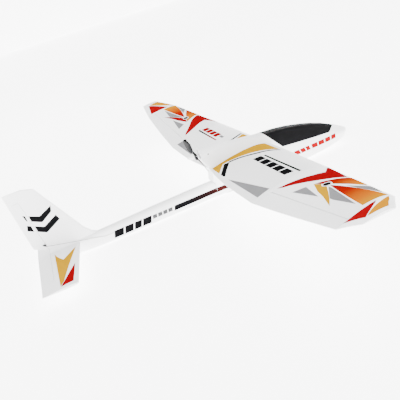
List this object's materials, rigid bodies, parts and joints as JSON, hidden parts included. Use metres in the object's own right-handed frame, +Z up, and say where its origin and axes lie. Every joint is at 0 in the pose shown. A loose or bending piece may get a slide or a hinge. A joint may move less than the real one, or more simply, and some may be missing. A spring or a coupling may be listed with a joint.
{
  "type": "rc sailplane",
  "caption": "Radio control foam sailplane: polyhedral wing with ailerons, slim boom, fin and tailplane, lift-off canopy and a folding pusher propeller on a pod above the wing.",
  "frame": {"origin": "centre of the bounding box in plan, on the ground plane under the belly skid", "axes": "+X towards the nose, +Y to port (left wing), +Z up"},
  "size_m": [1.0138, 1.396, 0.235],
  "materials": {
    "white_foam": "satin",
    "canopy_black": "satin",
    "black_plastic": "satin",
    "white_plastic": "gloss",
    "carbon": "satin",
    "plywood": "matte",
    "steel": "satin",
    "aluminium": "satin",
    "magnet": "polished",
    "battery_wrap": "gloss",
    "strap_fabric": "matte",
    "servo_blue": "satin",
    "circuit_wrap": "satin",
    "wire_black": "satin",
    "tube_plastic": "satin",
    "fork_metal": "satin"
  },
  "bodies": {
    "airframe": {"fuselage_half_left": "white_foam", "fuselage_half_right": "white_foam", "fuselage_magnets": "magnet", "belly_skid": "black_plastic", "battery_tray": "plywood", "servo_tray": "plywood", "battery_pack": "battery_wrap", "battery_strap": "strap_fabric", "speed_controller": "circuit_wrap", "receiver": "black_plastic", "motor_leads": "wire_black", "boom_stiffener": "carbon", "rudder_guide_tube": "tube_plastic", "elevator_guide_tube": "tube_plastic", "rudder_servo": "servo_blue", "elevator_servo": "servo_blue", "rudder_cable": "steel", "motor_mount_plate": "black_plastic", "motor_mount_screws": "steel", "motor_stator": "steel", "pod_screws": "steel", "wing_joiner_tube": "carbon", "wing_alignment_pins": "carbon", "wing_screws": "steel", "wing_panel_left": "white_foam", "wing_panel_right": "white_foam", "aileron_servo_left": "servo_blue", "aileron_servo_right": "servo_blue", "wing_spar_left": "carbon", "wing_spar_right": "carbon", "wing_tongue_left": "black_plastic", "wing_tongue_right": "black_plastic", "stabiliser": "white_foam", "stabiliser_screws": "steel"},
    "canopy": {"canopy_hatch": "canopy_black", "hatch_magnets": "magnet"},
    "rotor": {"motor_can": "aluminium", "motor_shaft": "steel", "prop_yoke": "fork_metal", "spinner": "white_plastic", "blade_pins": "steel"},
    "blade_a": {"prop_blade_a": "black_plastic"},
    "blade_b": {"prop_blade_b": "black_plastic"},
    "aileron_left": {"aileron_left": "white_foam", "aileron_horn_left": "black_plastic"},
    "aileron_arm_left": {"aileron_servo_arm_left": "white_plastic"},
    "aileron_rod_left": {"aileron_pushrod_left": "steel"},
    "aileron_right": {"aileron_right": "white_foam", "aileron_horn_right": "black_plastic"},
    "aileron_arm_right": {"aileron_servo_arm_right": "white_plastic"},
    "aileron_rod_right": {"aileron_pushrod_right": "steel"},
    "elevator": {"elevator": "white_foam", "elevator_horn": "black_plastic"},
    "elevator_rod": {"elevator_pushrod": "steel"},
    "elevator_arm": {"elevator_servo_arm": "white_plastic"},
    "rudder": {"rudder": "white_foam", "rudder_horn": "black_plastic"},
    "rudder_rod": {"rudder_pushrod": "steel"},
    "rudder_link": {"rudder_front_link": "steel"},
    "rudder_arm": {"rudder_servo_arm": "white_plastic"}
  },
  "joints": [
    {"name": "prop_spin", "type": "hinge", "parent": "airframe", "child": "rotor", "pos_m": [0.01, 0, 0.1435], "axis": [1, 0, 0], "continuous": true},
    {"name": "blade_a_fold", "type": "hinge", "parent": "rotor", "child": "blade_a", "pos_m": [0.01, 0.01256, 0.14686], "axis": [0, -0.2588, 0.9659], "range_deg": [0, 85]},
    {"name": "blade_b_fold", "type": "hinge", "parent": "rotor", "child": "blade_b", "pos_m": [0.01, -0.01256, 0.14014], "axis": [0, 0.2588, -0.9659], "range_deg": [0, 85]},
    {"name": "canopy_lift", "type": "slide", "parent": "airframe", "child": "canopy", "axis": [0, 0, 1], "range_m": [0, 0.06]},
    {"name": "aileron_left_hinge", "type": "hinge", "parent": "airframe", "child": "aileron_left", "pos_m": [0.0707, 0.4105, 0.11602], "axis": [-0.0213, 0.9849, 0.1719], "range_deg": [-16, 20]},
    {"name": "aileron_left_servo", "type": "hinge", "parent": "airframe", "child": "aileron_arm_left", "pos_m": [0.131, 0.4105, 0.11564], "axis": [-0.0213, 0.9849, 0.1719], "range_deg": [-16, 20]},
    {"name": "aileron_left_rod_pivot", "type": "hinge", "parent": "aileron_arm_left", "child": "aileron_rod_left", "pos_m": [0.13095, 0.41273, 0.10283], "axis": [-0.0213, 0.9849, 0.1719], "range_deg": [-20, 16]},
    {"name": "aileron_right_hinge", "type": "hinge", "parent": "airframe", "child": "aileron_right", "pos_m": [0.0707, -0.4105, 0.11602], "axis": [0.0213, 0.9849, -0.1719], "range_deg": [-20, 16]},
    {"name": "aileron_right_servo", "type": "hinge", "parent": "airframe", "child": "aileron_arm_right", "pos_m": [0.131, -0.4105, 0.11564], "axis": [0.0213, 0.9849, -0.1719], "range_deg": [-20, 16]},
    {"name": "aileron_right_rod_pivot", "type": "hinge", "parent": "aileron_arm_right", "child": "aileron_rod_right", "pos_m": [0.13095, -0.41273, 0.10283], "axis": [0.0213, 0.9849, -0.1719], "range_deg": [-16, 20]},
    {"name": "elevator_hinge", "type": "hinge", "parent": "airframe", "child": "elevator", "pos_m": [-0.46, 0, 0.038], "axis": [0, 1, 0], "range_deg": [-18, 20]},
    {"name": "elevator_rod_slide", "type": "slide", "parent": "airframe", "child": "elevator_rod", "axis": [1, 0, 0], "range_m": [-0.0036, 0.0033]},
    {"name": "elevator_servo_turn", "type": "hinge", "parent": "airframe", "child": "elevator_arm", "pos_m": [0.262, 0.0112, 0.016], "axis": [0, 1, 0], "range_deg": [-17, 15.5]},
    {"name": "rudder_hinge", "type": "hinge", "parent": "airframe", "child": "rudder", "pos_m": [-0.4575, 0, 0.049], "axis": [-0.117, 0, 0.9931], "range_deg": [-20, 20]},
    {"name": "rudder_rod_slide", "type": "slide", "parent": "airframe", "child": "rudder_rod", "axis": [0.9678, 0, -0.2519], "range_m": [-0.0048, 0.0048]},
    {"name": "rudder_link_slide", "type": "slide", "parent": "airframe", "child": "rudder_link", "axis": [1, 0, 0], "range_m": [-0.0048, 0.0048]},
    {"name": "rudder_servo_turn", "type": "hinge", "parent": "airframe", "child": "rudder_arm", "pos_m": [0.294, -0.0112, 0.016], "axis": [0, 1, 0], "range_deg": [-23, 23]}
  ],
  "couplings": [
    {"joint": "aileron_left_servo", "follows": "aileron_left_hinge", "ratio": 1},
    {"joint": "aileron_left_rod_pivot", "follows": "aileron_left_hinge", "ratio": -1},
    {"joint": "aileron_right_hinge", "follows": "aileron_left_hinge", "ratio": -1},
    {"joint": "aileron_right_servo", "follows": "aileron_left_hinge", "ratio": -1},
    {"joint": "aileron_right_rod_pivot", "follows": "aileron_left_hinge", "ratio": 1},
    {"joint": "elevator_rod_slide", "follows": "elevator_hinge", "m_per_rad": -0.01},
    {"joint": "elevator_servo_turn", "follows": "elevator_hinge", "ratio": -0.83333},
    {"joint": "rudder_rod_slide", "follows": "rudder_hinge", "m_per_rad": 0.01333},
    {"joint": "rudder_link_slide", "follows": "rudder_hinge", "m_per_rad": 0.01333},
    {"joint": "rudder_servo_turn", "follows": "rudder_hinge", "ratio": 1.1108}
  ]
}
